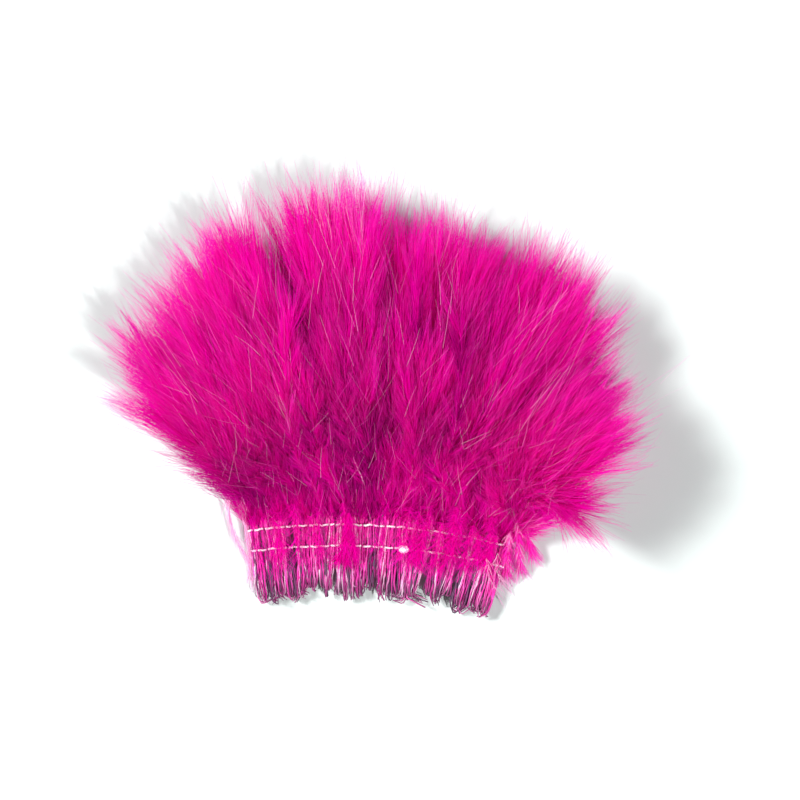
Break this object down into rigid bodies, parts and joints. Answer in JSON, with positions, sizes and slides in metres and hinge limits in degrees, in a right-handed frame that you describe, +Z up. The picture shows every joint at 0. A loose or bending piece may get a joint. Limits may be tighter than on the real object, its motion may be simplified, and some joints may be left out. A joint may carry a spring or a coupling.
{
  "type": "strung marabou feather trim",
  "caption": "Fan of soft dyed marabou plumes, sewn side by side across their quills with two rows of thread, as strung for feather boas, cuffs and costume trim.",
  "frame": {"origin": "on the table under the middle of the bunch's box", "axes": "+X across the sewn band to the right, +Y from the quill ends to the plume tips, +Z up from the table"},
  "size_m": [0.1544, 0.1214, 0.0395],
  "materials": {
    "down": "soft matte down",
    "quill": "dry satin keratin, dyed unevenly",
    "thread": "twisted matte thread"
  },
  "bodies": {
    "tuft_1": {"plume_01": "down", "quill_01": "quill", "plume_02": "down", "quill_02": "quill", "plume_03": "down", "quill_03": "quill", "plume_04": "down", "quill_04": "quill", "upper_stitch_1": "thread", "lower_stitch_1": "thread"},
    "tuft_2": {"plume_05": "down", "quill_05": "quill", "plume_06": "down", "quill_06": "quill", "plume_07": "down", "quill_07": "quill", "plume_08": "down", "quill_08": "quill", "upper_stitch_2": "thread", "lower_stitch_2": "thread"},
    "tuft_3": {"plume_09": "down", "quill_09": "quill", "plume_10": "down", "quill_10": "quill", "plume_11": "down", "quill_11": "quill", "plume_12": "down", "quill_12": "quill", "upper_stitch_3": "thread", "lower_stitch_3": "thread"},
    "tuft_4": {"plume_13": "down", "quill_13": "quill", "plume_14": "down", "quill_14": "quill", "plume_15": "down", "quill_15": "quill", "plume_16": "down", "quill_16": "quill", "upper_stitch_4": "thread", "lower_stitch_4": "thread"},
    "tuft_5": {"plume_17": "down", "quill_17": "quill", "plume_18": "down", "quill_18": "quill", "plume_19": "down", "quill_19": "quill", "plume_20": "down", "quill_20": "quill", "upper_stitch_5": "thread", "lower_stitch_5": "thread"},
    "tuft_6": {"plume_21": "down", "quill_21": "quill", "plume_22": "down", "quill_22": "quill", "plume_23": "down", "quill_23": "quill", "plume_24": "down", "quill_24": "quill", "upper_stitch_6": "thread", "lower_stitch_6": "thread"}
  },
  "joints": [
    {"name": "fold_1_2", "type": "hinge", "parent": "tuft_2", "child": "tuft_1", "pos_m": [-0.02436, -0.03913, 0.0032], "axis": [-0.1045, 0.9945, 0], "range_deg": [-5, 16]},
    {"name": "fold_2_3", "type": "hinge", "parent": "tuft_3", "child": "tuft_2", "pos_m": [-0.01212, -0.03866, 0.0032], "axis": [-0.0175, 0.9998, 0], "range_deg": [-5, 16]},
    {"name": "fold_3_4", "type": "hinge", "parent": "tuft_3", "child": "tuft_4", "pos_m": [0.00012, -0.039, 0.0032], "axis": [-0.0698, -0.9976, 0], "range_deg": [-5, 16]},
    {"name": "fold_4_5", "type": "hinge", "parent": "tuft_4", "child": "tuft_5", "pos_m": [0.01236, -0.04013, 0.0032], "axis": [-0.1564, -0.9877, 0], "range_deg": [-5, 16]},
    {"name": "fold_5_6", "type": "hinge", "parent": "tuft_5", "child": "tuft_6", "pos_m": [0.0246, -0.04206, 0.0032], "axis": [-0.2419, -0.9703, 0], "range_deg": [-5, 16]}
  ]
}
